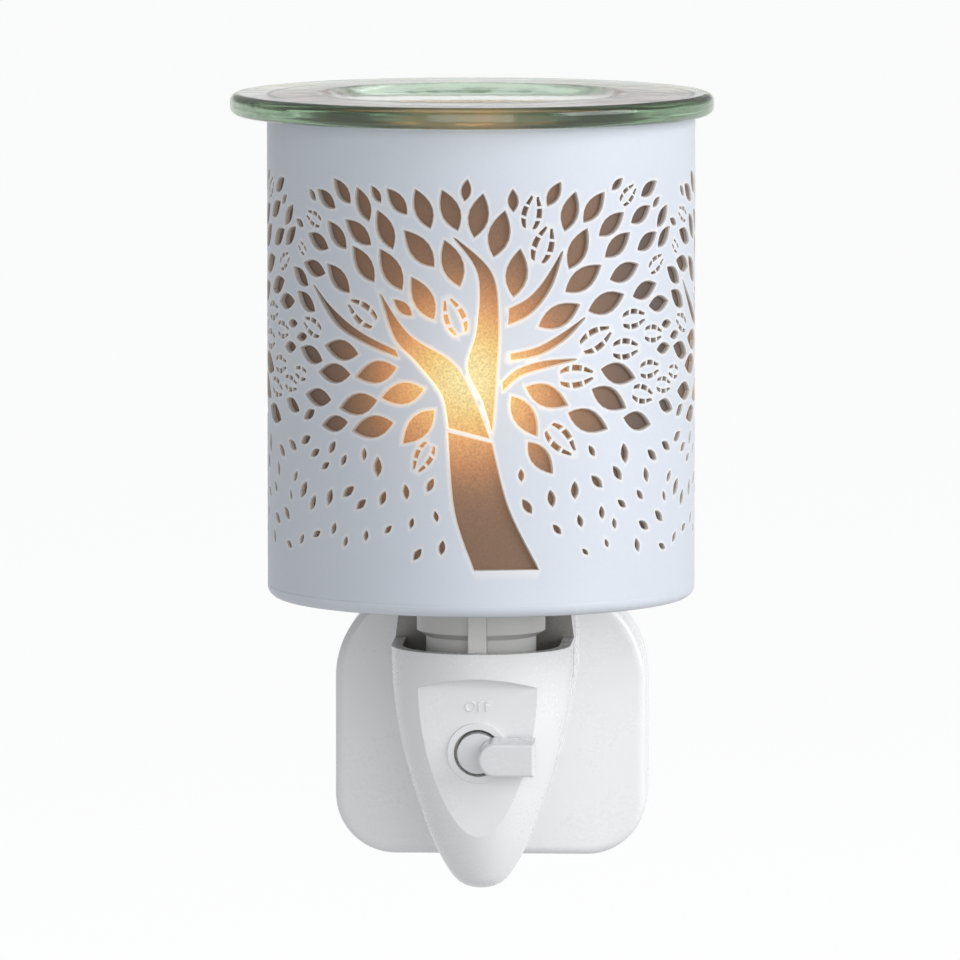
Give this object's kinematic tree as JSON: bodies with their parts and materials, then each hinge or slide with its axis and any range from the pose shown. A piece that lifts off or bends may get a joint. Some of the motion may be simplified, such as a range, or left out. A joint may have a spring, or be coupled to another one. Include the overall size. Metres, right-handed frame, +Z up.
{
  "type": "plug-in wax melt warmer",
  "caption": "Plug-in lamp that melts scented wax: a glass dish on a round shade cut with a leafy tree, over a bulb on a plug with a turn switch.",
  "frame": {"origin": "middle of the plug's flat back face, where it meets the wall socket", "axes": "+X to the right as seen from the room, +Y into the wall along the pins, +Z up"},
  "size_m": [0.0848, 0.1091, 0.1403],
  "materials": {
    "tinted_glass": "clear slumped glass with a green edge",
    "can_paint": "satin white paint on steel",
    "amber_sheet": "translucent amber diffuser sheet, speckled",
    "clear_glass": "thin clear glass",
    "nickel_plate": "nickel plate",
    "black_bead": "black glass bead",
    "solder": "solder",
    "filament": "tungsten coil",
    "holder_plastic": "moulded white, satin gloss",
    "spring_steel": "zinc plated steel",
    "brass_strip": "stamped brass",
    "pin_brass": "machined brass",
    "white_plastic": "moulded white, glossy",
    "sleeve_plastic": "black moulded sleeve",
    "switch_plastic": "moulded, unpolished",
    "brown_wire": "brown insulation",
    "blue_wire": "blue insulation"
  },
  "bodies": {
    "base": {"shade_wall": "can_paint", "shade_floor": "can_paint", "diffuser_liner": "amber_sheet", "shade_ring": "holder_plastic", "lampholder_body": "holder_plastic", "holder_clip": "spring_steel", "screw_shell": "brass_strip", "centre_contact": "brass_strip", "shell_contact": "brass_strip", "front_housing": "white_plastic", "plug_plate": "white_plastic", "pin_base": "white_plastic", "line_pin": "pin_brass", "neutral_pin": "pin_brass", "pin_sleeves": "sleeve_plastic", "rear_screws": "spring_steel", "switch_case": "switch_plastic", "line_terminal": "brass_strip", "load_terminal": "brass_strip", "line_lead": "brown_wire", "load_lead": "brown_wire", "neutral_lead": "blue_wire"},
    "dish": {"glass_dish": "tinted_glass"},
    "knob": {"switch_knob": "white_plastic", "switch_rotor": "switch_plastic", "switch_bridge": "brass_strip"},
    "bulb": {"bulb_glass": "clear_glass", "bulb_cap": "nickel_plate", "bulb_insulator": "black_bead", "bulb_tip": "solder", "bulb_stem": "clear_glass", "bulb_leads": "nickel_plate", "bulb_filament": "filament"}
  },
  "joints": [
    {"name": "dish_lift", "type": "slide", "parent": "base", "child": "dish", "axis": [0, 0, 1], "range_m": [0, 0.04]},
    {"name": "knob_turn", "type": "hinge", "parent": "base", "child": "knob", "pos_m": [0, -0.0545, -0.0009], "axis": [0, -0.9962, -0.0872], "range_deg": [0, 90]},
    {"name": "bulb_unscrew", "type": "hinge", "parent": "base", "child": "bulb", "pos_m": [0, -0.044, 0.0623], "axis": [0, 0, 1], "range_deg": [0, 900]}
  ]
}
